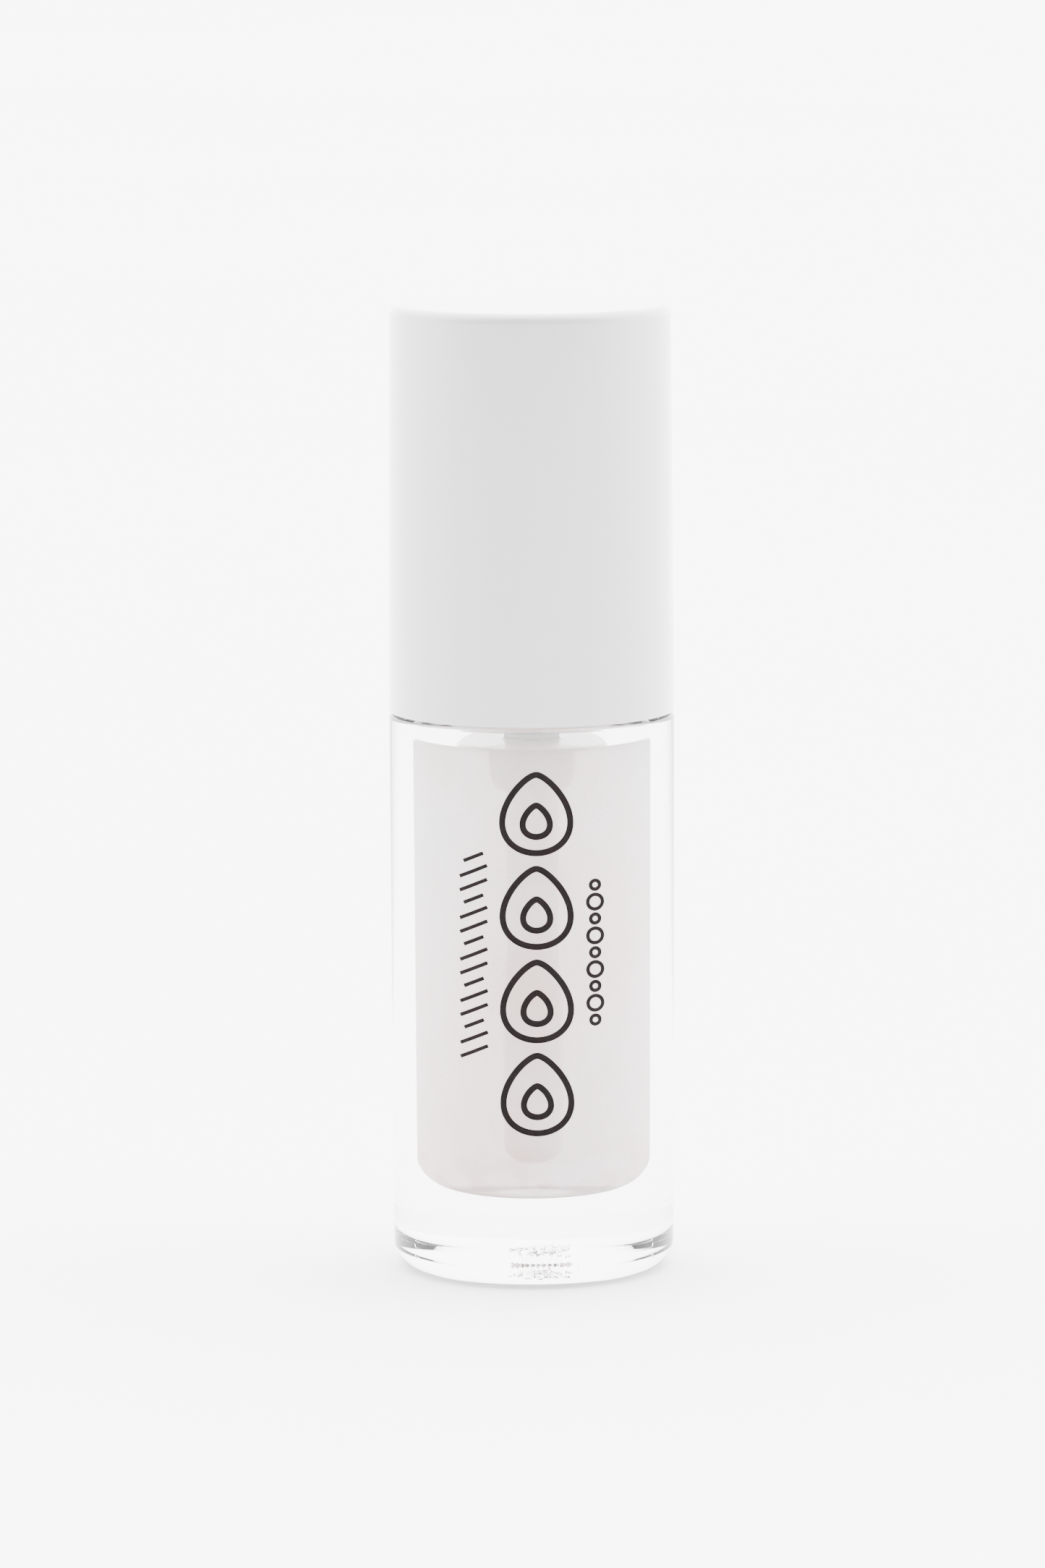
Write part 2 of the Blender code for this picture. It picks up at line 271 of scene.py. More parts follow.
def finished(name, shape, finish):
    """Put a bmesh in the scene as a smooth-shaded piece."""
    mesh = bpy.data.meshes.new(name)
    shape.to_mesh(mesh)
    shape.free()
    mesh.materials.append(finish)
    mesh.shade_smooth()
    mesh.set_sharp_from_angle(angle=SHARP_EDGE)
    piece = bpy.data.objects.new(name, mesh)
    bpy.context.collection.objects.link(piece)
    return piece


def thread_rise(angle, height, start):
    """How far a right-hand thread stands out at a place on its wall, from 0 to 1."""
    best = 0.0
    for turn in range(3):
        along = angle / math.tau + turn
        if along > THREAD_TURNS:
            break
        offset = abs(height - start - THREAD_PITCH * along)
        flank = (THREAD_ROOT_HALF - offset) / (THREAD_ROOT_HALF - THREAD_CREST_HALF)
        fade = min(along, THREAD_TURNS - along) / THREAD_FADE
        best = max(best, min(1.0, max(0.0, flank)) * min(1.0, fade))
    return best


def mount(piece, body, node):
    """Let a piece stand for a CAD node: it rides the node's body, and the node is hidden."""
    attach(piece, body)
    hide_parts(node)


# ---------------------------------------------------------------- materials


class Finish:
    """Node tree of one material, with short calls for the nodes that most finishes share."""

    def __init__(self, name):
        self.material = bpy.data.materials.new(name)
        self.material.use_nodes = True
        self.tree = self.material.node_tree
        self.shader = self.tree.nodes["Principled BSDF"]
        self.place = self.node("ShaderNodeTexCoord").outputs["Object"]

    def node(self, kind, **settings):
        made = self.tree.nodes.new(kind)
        for key, value in settings.items():
            setattr(made, key, value)
        return made

    def link(self, source, target):
        self.tree.links.new(source, target)

    def set(self, **values):
        for key, value in values.items():
            self.shader.inputs[key.replace("_", " ")].default_value = value

    def stretched(self, scale):
        mapping = self.node("ShaderNodeMapping")
        mapping.inputs["Scale"].default_value = scale
        self.link(self.place, mapping.inputs["Vector"])
        return mapping.outputs["Vector"]

    def noise(self, scale, detail=3.0, rough=0.5, stretch=None):
        made = self.node("ShaderNodeTexNoise")
        made.inputs["Scale"].default_value = scale
        made.inputs["Detail"].default_value = detail
        made.inputs["Roughness"].default_value = rough
        self.link(self.stretched(stretch) if stretch else self.place, made.inputs["Vector"])
        return made.outputs["Fac"]

    def ramp(self, source, stops):
        made = self.node("ShaderNodeValToRGB")
        elements = made.color_ramp.elements
        while len(elements) < len(stops):
            elements.new(0.5)
        for element, (position, color) in zip(elements, stops):
            element.position = position
            element.color = (*color, 1.0)
        self.link(source, made.inputs["Fac"])
        return made.outputs["Color"]

    def between(self, source, low, high, start=0.3, end=0.7):
        made = self.node("ShaderNodeMapRange")
        for key, value in (("From Min", start), ("From Max", end), ("To Min", low), ("To Max", high)):
            made.inputs[key].default_value = value
        self.link(source, made.inputs["Value"])
        return made.outputs["Result"]

    def mix(self, share, first, second):
        """Blend two colours. The second may be a plain colour."""
        made = self.node("ShaderNodeMix", data_type="RGBA")
        self.link(share, made.inputs["Factor"])
        self.link(first, made.inputs[6])
        if isinstance(second, tuple):
            made.inputs[7].default_value = (*second, 1.0)
        else:
            self.link(second, made.inputs[7])
        return made.outputs[2]

    def bump(self, source, distance):
        made = self.node("ShaderNodeBump")
        made.inputs["Strength"].default_value = 1.0
        made.inputs["Distance"].default_value = distance
        self.link(source, made.inputs["Height"])
        return made.outputs["Normal"]


def clear_plastic(name, ior, low, high):
    """Polished copolyester, clear all through, with its roughness between low and high."""
    finish = Finish(name)
    finish.set(Base_Color=(0.985, 0.98, 0.985, 1), Transmission_Weight=1.0, IOR=ior)
    haze = finish.noise(900.0, detail=4.0)
    finish.link(finish.between(haze, low, high), finish.shader.inputs["Roughness"])
    return finish.material


def pearl(name, roughness, ior):
    """Pearly gloss: partly clear, soft scattering, clouded between beige and pink, with fine flakes.

    Pink clouds gather low in the tube, and a thin dark band of painted shade lies along its floor.
    """
    finish = Finish(name)
    cloud = finish.noise(120.0, detail=5.0, rough=0.6, stretch=(1.0, 1.0, 0.5))
    stops = [(0.34, (0.88, 0.75, 0.69)), (0.5, (0.94, 0.86, 0.83)), (0.66, (0.985, 0.96, 0.955))]
    tone = finish.ramp(cloud, stops)
    flakes = finish.node("ShaderNodeTexVoronoi")
    flakes.inputs["Scale"].default_value = 2600.0
    finish.link(finish.place, flakes.inputs["Vector"])
    flake = finish.between(flakes.outputs["Distance"], 0.5, 0.0, 0.0, 0.25)
    shimmer = finish.mix(flake, tone, flakes.outputs["Color"])
    split = finish.node("ShaderNodeSeparateXYZ")
    finish.link(finish.place, split.inputs["Vector"])
    cloudy = finish.between(finish.noise(420.0, detail=4.0), 0.0, 1.0, 0.45, 0.65)
    low = finish.between(split.outputs["Z"], 0.7, 0.0, CAVITY_FLOOR + 1.0 * MM, CAVITY_FLOOR + 5.0 * MM)
    pink = finish.node("ShaderNodeMath", operation="MULTIPLY")
    finish.link(cloudy, pink.inputs[0])
    finish.link(low, pink.inputs[1])
    tinted = finish.mix(pink.outputs["Value"], shimmer, (0.74, 0.50, 0.48))
    # Painted shade: a thin dark band along the fill's floor, where its lower edge looks dark
    painted_floor_shade = finish.between(split.outputs["Z"], 1.0, 0.0, CAVITY_FLOOR + 0.05 * MM, CAVITY_FLOOR + 0.25 * MM)
    finish.link(finish.mix(painted_floor_shade, tinted, (0.10, 0.04, 0.04)), finish.shader.inputs["Base Color"])
    finish.set(Subsurface_Weight=1.0, Subsurface_Radius=(1.0, 0.86, 0.82), Subsurface_Scale=4.0 * MM)
    finish.set(Roughness=roughness, IOR=ior, Transmission_Weight=0.5)
    return finish.material


def satin_cap():
    """Pale grey moulded cap with a clear lacquer, and flow lines almost too faint to see."""
    finish = Finish("satin_cap")
    flow = finish.noise(220.0, detail=3.0, stretch=(1.0, 1.0, 0.05))
    tone = finish.ramp(flow, [(0.3, (0.37, 0.36, 0.37)), (0.7, (0.39, 0.38, 0.39))])
    finish.link(tone, finish.shader.inputs["Base Color"])
    grain = finish.noise(2600.0, detail=2.0)
    finish.link(finish.between(grain, 0.28, 0.34), finish.shader.inputs["Roughness"])
    finish.link(finish.bump(grain, 0.002 * MM), finish.shader.inputs["Normal"])
    finish.set(Coat_Weight=1.0, Coat_Roughness=0.16, Coat_IOR=1.5)
    return finish.material


def moulded(name, low, high, roughness, scatter):
    """Plain moulded plastic or foam, between two close colours, with a fine grain."""
    finish = Finish(name)
    finish.tone = finish.ramp(finish.noise(300.0), [(0.3, low), (0.7, high)])
    finish.link(finish.tone, finish.shader.inputs["Base Color"])
    grain = finish.noise(3000.0, detail=2.0)
    finish.link(finish.between(grain, roughness - 0.05, roughness + 0.05), finish.shader.inputs["Roughness"])
    finish.link(finish.bump(grain, 0.004 * MM), finish.shader.inputs["Normal"])
    finish.set(Subsurface_Weight=scatter, Subsurface_Radius=(1.0, 0.95, 0.9), Subsurface_Scale=1.0 * MM)
    return finish


def white_plastic(name):
    return moulded(name, (0.78, 0.78, 0.77), (0.82, 0.82, 0.81), 0.38, 0.3).material


def soft_core():
    return moulded("applicator_plastic", (0.74, 0.71, 0.69), (0.79, 0.76, 0.74), 0.5, 0.4).material


def natural_plastic():
    """Natural polyethylene: milky, with painted shade on the part that stands in the gloss, where the
    nozzle's shadow shows through the fill.
    """
    finish = moulded("natural_wiper", (0.93, 0.93, 0.93), (0.97, 0.97, 0.97), 0.4, 1.0)
    split = finish.node("ShaderNodeSeparateXYZ")
    finish.link(finish.place, split.inputs["Vector"])
    # Painted shade: the nozzle is dark below the gloss line, standing in for the shadow it shows in the fill
    painted_nozzle_shade = finish.between(split.outputs["Z"], 1.0, 0.0, GLOSS_TOP - 0.2 * MM, GLOSS_TOP + 0.1 * MM)
    finish.link(finish.mix(painted_nozzle_shade, finish.tone, (0.22, 0.18, 0.18)), finish.shader.inputs["Base Color"])
    finish.set(Subsurface_Scale=2.5 * MM, Transmission_Weight=0.25, IOR=1.5)
    return finish.material


def foam():
    """Closed-cell foam, with its cells just visible in place of the moulded grain."""
    finish = moulded("gasket_foam", (0.80, 0.80, 0.79), (0.86, 0.86, 0.85), 0.75, 0.2)
    cells = finish.node("ShaderNodeTexVoronoi")
    cells.inputs["Scale"].default_value = 4500.0
    finish.link(finish.place, cells.inputs["Vector"])
    finish.link(finish.bump(cells.outputs["Distance"], 0.03 * MM), finish.shader.inputs["Normal"])
    return finish.material


def flock():
    """Nylon flock soaked with gloss: matted clumps, pinker where the gloss gathers."""
    finish = Finish("wet_flock")
    clump = finish.noise(1300.0, detail=4.0)
    tone = finish.ramp(clump, [(0.3, (0.50, 0.35, 0.33)), (0.7, (0.70, 0.58, 0.56))])
    finish.link(tone, finish.shader.inputs["Base Color"])
    finish.link(finish.between(clump, 0.35, 0.7), finish.shader.inputs["Roughness"])
    finish.link(finish.bump(clump, 0.05 * MM), finish.shader.inputs["Normal"])
    finish.set(Coat_Weight=0.5, Coat_Roughness=0.2, Subsurface_Weight=0.4, Subsurface_Scale=0.5 * MM)
    return finish.material


def ink():
    """Dark brown screen-printing ink, with a slightly uneven surface."""
    finish = Finish("print_ink")
    tone = finish.ramp(finish.noise(1500.0), [(0.3, (0.004, 0.0025, 0.0025)), (0.7, (0.006, 0.004, 0.004))])
    finish.link(tone, finish.shader.inputs["Base Color"])
    finish.link(finish.between(finish.noise(4000.0), 0.45, 0.6), finish.shader.inputs["Roughness"])
    finish.set(Specular_IOR_Level=0.06)
    return finish.material


def pale_floor():
    finish = Finish("pale_floor")
    tone = finish.ramp(finish.noise(3.0), [(0.3, (0.86, 0.86, 0.86)), (0.7, (0.88, 0.88, 0.88))])
    finish.link(tone, finish.shader.inputs["Base Color"])
    finish.set(Roughness=0.9)
    return finish.material


# ---------------------------------------------------------------- pieces


def crumple(ring_radius, angle, height):
    """The torn gate mark in the middle of the base's recess, rougher and deeper on its +X side."""
    if abs(height - RECESS) < 1e-7:
        x = ring_radius * math.cos(angle)
        y = ring_radius * math.sin(angle)
        inside = GATE_RADIUS - math.hypot(x - GATE_OFFSET, y)
        if inside > 0.0:
            point = Vector((x, y, 0.0)) * GATE_GRAIN
            rough = abs(noise.noise(point)) + 0.5 * abs(noise.noise(point * 2.3))
            rough += 0.25 * noise.noise(point * 5.1)
            side = 0.65 + 0.35 * x / GATE_RADIUS
            height += (GATE_LIFT + GATE_HEIGHT * 2.0 * rough * side) * min(1.0, inside / GATE_EDGE)
    return ring_radius, angle, height


def bottle_shape(ring_radius, angle, height):
    """The thread on the neck, and the gate mark under the base."""
    if abs(ring_radius - NECK_RADIUS) < 1e-7 and height > SHOULDER:
        ring_radius += THREAD_HEIGHT * thread_rise(angle, height, THREAD_START)
    return crumple(ring_radius, angle, height)


def cavity_floor(play=0.0):
    """From the foot of the cavity's drafted wall to the axis, over its dished floor."""
    round_radius = CAVITY_ROUND - play
    inner = CAVITY_RADIUS - CAVITY_DRAFT - CAVITY_ROUND
    points = arc(inner, CAVITY_FLOOR + CAVITY_ROUND, round_radius, 0, -90, 16)
    for step in range(1, 8):
        share = step / 8
        rise = CAVITY_RISE * (0.5 - 0.5 * math.cos(math.pi * share))
        points.append((inner * (1 - share), CAVITY_FLOOR + play + rise))
    points.append((0.0, CAVITY_FLOOR + play + CAVITY_RISE))
    return points


def underside():
    """Shallow recess under the base, from its middle to the ring that the bottle stands on."""
    points = span((0.06 * MM, RECESS), (GATE_RADIUS + GATE_OFFSET, RECESS), 48)
    for step in range(17):
        share = step / 16
        fall = 0.5 - 0.5 * math.cos(math.pi * share)
        points.append((RECESS_RADIUS + RECESS_EDGE * share, RECESS * (1.0 - fall)))
    return points


def build_bottle():
    """Thick clear wall in one piece with its base and its threaded neck."""
    profile = [(0.0, RECESS)]
    profile += underside()
    profile += arc(FOOT_RADIUS - FOOT_ROUND, FOOT_ROUND, FOOT_ROUND, -90, 0, 20)
    profile += arc(TUBE_RADIUS - 0.3 * MM, SHOULDER - 0.3 * MM, 0.3 * MM, 0, 90, 8)
    profile += arc(NECK_RADIUS + 0.2 * MM, SHOULDER + 0.2 * MM, 0.2 * MM, 270, 180, 4)
    profile += span((NECK_RADIUS, SHOULDER + 1.0 * MM), (NECK_RADIUS, NECK_TOP - 0.5 * MM), 90)
    profile += arc(NECK_RADIUS - 0.2 * MM, NECK_TOP - 0.2 * MM, 0.2 * MM, 0, 90, 4)
    profile += arc(CAVITY_RADIUS + 0.2 * MM, NECK_TOP - 0.2 * MM, 0.2 * MM, 90, 180, 4)
    profile += [(CAVITY_RADIUS, SHOULDER), (CAVITY_RADIUS - CAVITY_STEP, GLOSS_TOP)]
    profile += cavity_floor()
    polished = clear_plastic("clear_plastic", CLEAR_IOR, 0.0, 0.012)
    bottle = turned("bottle_body", profile, CLEAR_SIDES, polished, bottle_shape)
    bottle.data.materials.append(clear_plastic("clear_wetted", MATCHED_IOR, 0.0, 0.012))
    # The wall steps in by a hair at the gloss line, so that only its faces beside the fill are chosen
    for face in bottle.data.polygons:
        from_axis = math.hypot(face.center.x, face.center.y)
        in_cavity = from_axis < CAVITY_RADIUS and CAVITY_FLOOR - 0.1 * MM < face.center.z < GLOSS_TOP
        if in_cavity:
            face.material_index = 1
    mount(bottle, "bottle", "bottle")


def nozzle_outline(play=0.0):
    """Outer side of the wiper's nozzle, from its tip up to where it stands straight."""
    tip = ORIFICE + 0.18 * MM
    points = []
    for step in range(13):
        share = step / 12
        swell = math.sin(share * math.pi / 2) ** 0.8
        points.append((tip + (NOZZLE_RADIUS - tip) * swell + play, WIPER_TIP + NOZZLE_TAPER * share))
    return points


def slanted(ring_radius, angle, height):
    """Flatten the front of the applicator towards its tip, as a doe-foot applicator is."""
    across = ring_radius * math.cos(angle)
    depth = ring_radius * math.sin(angle)
    drop = (SLANT_START - height) / (SLANT_START - FLOCK_TIP)
    if drop > 0.0 and depth < 0.0:
        depth *= 1.0 - SLANT_DEPTH * min(drop, 1.0)
    return math.hypot(across, depth), math.atan2(depth, across), height


def build_gloss():
    """The fill, with a well that hugs the wiper's nozzle and the wand, and its free surface on top."""
    wall = CAVITY_RADIUS - FILL_PLAY
    hug = 0.05 * MM
    tip = FLOCK_RADIUS + hug
    climb = 0.25 * MM
    inner = NOZZLE_RADIUS + hug
    outer = list(reversed(cavity_floor(FILL_PLAY)))
    outer += arc(wall - GLOSS_EDGE, GLOSS_TOP - GLOSS_EDGE, GLOSS_EDGE, 0, 90, 8)
    free = span((wall - GLOSS_EDGE - 0.2 * MM, GLOSS_TOP), (inner + 2 * climb, GLOSS_TOP), 6)
    free += arc(inner + climb, GLOSS_TOP + climb, climb, -90, -180, 8)
    well = list(reversed(nozzle_outline(hug)))
    well.append((STEM_RADIUS + hug, WIPER_TIP - 0.1 * MM))
    well.append((STEM_RADIUS + hug, FLOCK_TOP + 0.4 * MM))
    well.append((tip, FLOCK_TOP + 0.1 * MM))
    well += span((tip, SLANT_START), (tip, FLOCK_TIP + FLOCK_RADIUS), 8)
    well += arc(0.0, FLOCK_TIP + FLOCK_RADIUS, tip, 0, -90, 10)[:-1]
    well.append((0.0, FLOCK_TIP + FLOCK_RADIUS - tip))

    def shape(ring_radius, angle, height):
        inside = ring_radius < tip + 1e-6 and height < SLANT_START
        if inside and height > FLOCK_TIP - 2 * hug:
            return slanted(ring_radius, angle, height)
        return ring_radius, angle, height

    matched = pearl("pearl_gloss", 0.25, MATCHED_IOR)
    gloss = turned("gloss_fill", outer + free + well, CLEAR_SIDES, matched, shape)
    gloss.data.materials.append(pearl("gloss_surface", 0.06, GLOSS_IOR))
    for face in gloss.data.polygons:
        if face.center.z > GLOSS_TOP - 0.5 * GLOSS_EDGE and face.normal.z > 0.5:
            face.material_index = 1
    mount(gloss, "bottle", "lip_oil")


def build_wiper():
    """Neck plug with a rounded flange, and the soft nozzle that wipes the stem."""
    cup = CAVITY_RADIUS - 0.1 * MM
    bore = cup - WIPER_WALL
    flange = NECK_TOP + 0.1 * MM
    soft = 0.2 * MM
    profile = [(ORIFICE, WIPER_TIP + 0.08 * MM), (ORIFICE + 0.06 * MM, WIPER_TIP)]
    profile += nozzle_outline()
    profile += arc(NOZZLE_RADIUS + 0.3 * MM, WIPER_CUP_FLOOR - 0.3 * MM, 0.3 * MM, 180, 90, 5)
    profile += arc(cup - soft, WIPER_CUP_FLOOR + soft, soft, -90, 0, 5)
    profile += [(cup, flange - 0.02 * MM), (cup + 0.02 * MM, flange)]
    profile += arc(WIPER_FLANGE_RADIUS - soft, flange + soft, soft, -90, 0, 5)
    profile += arc(WIPER_FLANGE_RADIUS - soft, WIPER_TOP - soft, soft, 0, 90, 5)
    profile += arc(bore + soft, WIPER_TOP - soft, soft, 90, 180, 5)
    profile += arc(bore - soft, WIPER_CUP_FLOOR + WIPER_WALL + soft, soft, 0, -90, 5)
    profile += arc(NOZZLE_RADIUS + soft, WIPER_CUP_FLOOR + WIPER_WALL - soft, soft, 90, 180, 5)
    profile += [(NOZZLE_RADIUS - 0.4 * MM, WIPER_CUP_FLOOR - 0.2 * MM),
                (NOZZLE_RADIUS - 0.4 * MM, WIPER_TIP + NOZZLE_TAPER)]
    wiper = turned("neck_wiper", profile, SLIM_SIDES, natural_plastic())
    mount(wiper, "bottle", "wiper")


def build_gasket():
    """Foam sealing ring, with two pressed-in rings on each face."""
    soft = 0.12 * MM
    width = GASKET_RADIUS - GASKET_INNER
    profile = arc(GASKET_INNER + soft, GASKET_FLOOR + soft, soft, 180, 270, 4)
    profile += pressed_face(GASKET_INNER, width, GASKET_FLOOR, 1.0)
    profile += arc(GASKET_RADIUS - soft, GASKET_FLOOR + soft, soft, -90, 0, 4)
    profile += arc(GASKET_RADIUS - soft, GASKET_TOP - soft, soft, 0, 90, 4)
    profile += reversed(pressed_face(GASKET_INNER, width, GASKET_TOP, -1.0))
    profile += arc(GASKET_INNER + soft, GASKET_TOP - soft, soft, 90, 180, 4)
    gasket = turned("sealing_ring", profile, PLAIN_SIDES, foam())
    mount(gasket, "gasket", "sealing_gasket")


def pressed_face(inner, width, height, inward):
    """Profile points of a ring's flat face with two shallow grooves pressed into it."""
    points = []
    for step in range(2, 23):
        share = step / 24
        groove = max(0.0, -math.cos(share * 4 * math.pi))
        points.append((inner + width * share, height + inward * GROOVE_DEPTH * groove))
    return points


def build_stem():
    """Wand stem with its collar, its head that plugs into the insert, and a socket at its end."""
    socket = SHANK_RADIUS + 0.1 * MM
    roof = CORE_TOP + REST_GAP
    collar_top = INSERT_CEILING - REST_GAP
    soft = 0.15 * MM
    profile = [(0.0, roof)]
    profile += arc(socket - soft, roof - soft, soft, 90, 0, 4)
    profile += arc(socket + 0.1 * MM, STEM_END + 0.1 * MM, 0.1 * MM, 180, 270, 4)
    profile += arc(STEM_RADIUS - soft, STEM_END + soft, soft, -90, 0, 5)
    profile += arc(STEM_RADIUS + 0.4 * MM, collar_top - STEM_COLLAR - 0.4 * MM, 0.4 * MM, 180, 90, 6)
    profile += arc(COLLAR_RADIUS - soft, collar_top - STEM_COLLAR + soft, soft, -90, 0, 5)
    profile += arc(COLLAR_RADIUS - soft, collar_top - soft, soft, 0, 90, 5)
    profile.append((STEM_HEAD_RADIUS, collar_top))
    groove_radius = STEM_HEAD_RADIUS - SNAP_GROOVE_DEPTH
    for groove in range(SNAP_GROOVES):
        height = collar_top + (2.0 + 1.8 * groove) * MM
        profile += [(STEM_HEAD_RADIUS, height), (groove_radius, height + 0.25 * MM),
                    (groove_radius, height + 0.75 * MM), (STEM_HEAD_RADIUS, height + 1.0 * MM)]
    profile += arc(STEM_HEAD_RADIUS - 0.3 * MM, STEM_TOP - 0.3 * MM, 0.3 * MM, 0, 90, 5)
    profile.append((0.0, STEM_TOP))
    stem = turned("wand_rod", profile, SLIM_SIDES, white_plastic("wand_plastic"))
    mount(stem, "cap", "wand_stem")


def build_applicator():
    """Soft core, its coat of flock, and the fibres that stand on the coat."""
    coat_radius = FLOCK_RADIUS - 0.12 * MM
    bore = FLOCK_RADIUS - FLOCK_THICKNESS
    core = bore - 0.1 * MM
    center = FLOCK_TIP + FLOCK_RADIUS
    shoulder = STEM_END - 0.1 * MM

    profile = arc(0.0, center, core, -90, 0, 12)
    profile[0] = (0.0, center - core)
    profile += span((core, SLANT_START - 4 * MM), (core, FLOCK_TOP + 0.1 * MM), 8)
    profile += [(core, FLOCK_TOP + 0.1 * MM), (CORE_RADIUS - 0.1 * MM, FLOCK_TOP + 0.1 * MM),
                (CORE_RADIUS, FLOCK_TOP + 0.15 * MM), (CORE_RADIUS, shoulder), (SHANK_RADIUS, shoulder)]
    profile += arc(SHANK_RADIUS - 0.2 * MM, CORE_TOP - 0.2 * MM, 0.2 * MM, 0, 90, 4)
    profile.append((0.0, CORE_TOP))
    tip = turned("applicator_tip", profile, SLIM_SIDES, soft_core(), slanted)
    mount(tip, "cap", "applicator_core")

    profile = arc(0.0, center, coat_radius, -90, 0, 14)
    profile[0] = (0.0, center - coat_radius)
    profile += span((coat_radius, center + 0.4 * MM), (coat_radius, FLOCK_TOP - 0.1 * MM), 30)
    profile += arc(coat_radius - 0.1 * MM, FLOCK_TOP - 0.1 * MM, 0.1 * MM, 0, 90, 3)
    profile += span((bore, FLOCK_TOP), (bore, center), 6)
    profile += arc(0.0, center, bore, 0, -90, 10)[:-1]
    profile.append((0.0, center - bore))
    coat = turned("flocked_coat", profile, SLIM_SIDES, flock(), slanted)
    add_fibres(coat, coat_radius, center)
    mount(coat, "cap", "applicator_flock")


def add_fibres(coat, coat_radius, center):
    """Stand short nylon fibres all over the coat, each a slim closed spike leaning its own way."""
    random = Random(7)
    shape = bmesh.new()
    shape.from_mesh(coat.data)
    length = FLOCK_TOP - center
    for index in range(FIBRES):
        rise = random.uniform(-coat_radius, length - 0.1 * MM)
        angle = random.uniform(0.0, math.tau)
        if rise < 0.0:
            ring_radius = math.sqrt(max(0.0, coat_radius ** 2 - rise ** 2))
            out = Vector(upright(ring_radius, angle, rise)) / coat_radius
        else:
            ring_radius = coat_radius
            out = Vector((math.cos(angle), math.sin(angle), 0.0))
        root = Vector(upright(*slanted(ring_radius, angle, center + rise))) - out * FIBRE_ROOT
        lean = Vector([random.uniform(-FIBRE_LEAN, FIBRE_LEAN) for axis in range(3)])
        tip = root + (out + lean).normalized() * random.uniform(*FIBRE_LENGTHS)
        side = out.orthogonal().normalized() * FIBRE_RADIUS
        corners = []
        for turn in range(3):
            corners.append(shape.verts.new(root + Matrix.Rotation(math.tau * turn / 3, 3, out) @ side))
        point = shape.verts.new(tip)
        for turn in range(3):
            shape.faces.new((corners[turn], corners[(turn + 1) % 3], point))
        shape.faces.new(reversed(corners))
    shape.to_mesh(coat.data)
    shape.free()


def insert_shape(ring_radius, angle, height):
    """Ribs on the insert's outer wall, and its thread inside."""
    if abs(ring_radius - INSERT_RADIUS) < 1e-7:
        pitch = math.tau / INSERT_RIBS
        away = abs((angle / pitch) % 1.0 - 0.5) * pitch * INSERT_RADIUS
        edge = min(1.0, max(0.0, (RIB_HALF_WIDTH + RIB_FLANK / 2 - away) / RIB_FLANK))
        ring_radius += RIB_HEIGHT * edge
    elif abs(ring_radius - INSERT_BORE) < 1e-7:
        ring_radius -= THREAD_HEIGHT * thread_rise(angle, height, THREAD_START + THREAD_PITCH / 2)
    return ring_radius, angle, height


def build_insert():
    """Threaded insert that turns on the neck and holds the wand."""
    roof = INSERT_CEILING + INSERT_ROOF
    boss_ceiling = STEM_TOP + REST_GAP
    boss_bore = STEM_HEAD_RADIUS + 0.1 * MM
    soft = 0.2 * MM
    profile = [(INSERT_BORE + 0.15 * MM, INSERT_FOOT)]
    profile += arc(INSERT_FLANGE_RADIUS - soft, INSERT_FOOT + soft, soft, -90, 0, 5)
    profile += arc(INSERT_FLANGE_RADIUS - soft, INSERT_FOOT + INSERT_FLANGE - soft, soft, 0, 90, 5)
    profile += span((INSERT_RADIUS, INSERT_FOOT + INSERT_FLANGE), (INSERT_RADIUS, roof - soft), 4)
    profile.append((INSERT_RADIUS, roof - soft))
    profile += arc(INSERT_RADIUS - soft, roof - soft, soft, 0, 90, 5)[1:]
    profile += arc(BOSS_RADIUS + 0.4 * MM, roof + 0.4 * MM, 0.4 * MM, 270, 180, 5)
    profile += arc(BOSS_RADIUS - soft, INSERT_TOP - soft, soft, 0, 90, 5)
    profile += [(0.0, INSERT_TOP), (0.0, boss_ceiling)]
    profile += [(boss_bore, boss_ceiling), (boss_bore, INSERT_CEILING + 0.2 * MM),
                (boss_bore + 0.2 * MM, INSERT_CEILING)]
    profile.append((INSERT_BORE - soft, INSERT_CEILING))
    profile += span((INSERT_BORE, INSERT_CEILING - soft), (INSERT_BORE, INSERT_FOOT + 0.3 * MM), 100)
    profile.append((INSERT_BORE, INSERT_FOOT + 0.15 * MM))
    insert = turned("cap_insert", profile, RIBBED_SIDES, white_plastic("white_insert"), insert_shape)
    mount(insert, "cap", "inner_cap")


def build_cap():
    """Outer cover, with a bead inside, just below the insert's flange."""
    lip = SHOULDER + SEAM
    bead = INSERT_FOOT - 0.55 * MM
    profile = arc(CAP_BORE + 0.15 * MM, lip + 0.15 * MM, 0.15 * MM, 180, 270, 4)
    profile += arc(TUBE_RADIUS - 0.2 * MM, lip + 0.2 * MM, 0.2 * MM, -90, 0, 6)
    profile += arc(CAP_TOP_RADIUS - CAP_TOP_ROUND, CAP_TOP - CAP_TOP_ROUND, CAP_TOP_ROUND, 0, 90, 14)
    profile += span((CAP_TOP_RADIUS - 0.9 * MM, CAP_TOP), (0.0, CAP_TOP), 6)[1:]
    profile += [(0.0, CAP_TOP), (0.0, CAP_TOP - CAP_ROOF)]
    profile += arc(CAP_BORE - 0.8 * MM, CAP_TOP - CAP_ROOF - 0.8 * MM, 0.8 * MM, 90, 0, 8)
    profile += [(CAP_BORE, bead + 0.25 * MM)]
    profile += arc(CAP_BORE, bead, BEAD_HEIGHT, 130, 230, 8)
    cap = turned("cap_cover", profile, PLAIN_SIDES, satin_cap())
    mount(cap, "cap", "outer_cap")


def wall_radius(height):
    """Outer radius of the bottle's wall, which narrows slightly towards the foot."""
    share = (height - FOOT_ROUND) / (SHOULDER - 0.3 * MM - FOOT_ROUND)
    return FOOT_RADIUS + (TUBE_RADIUS - FOOT_RADIUS) * share


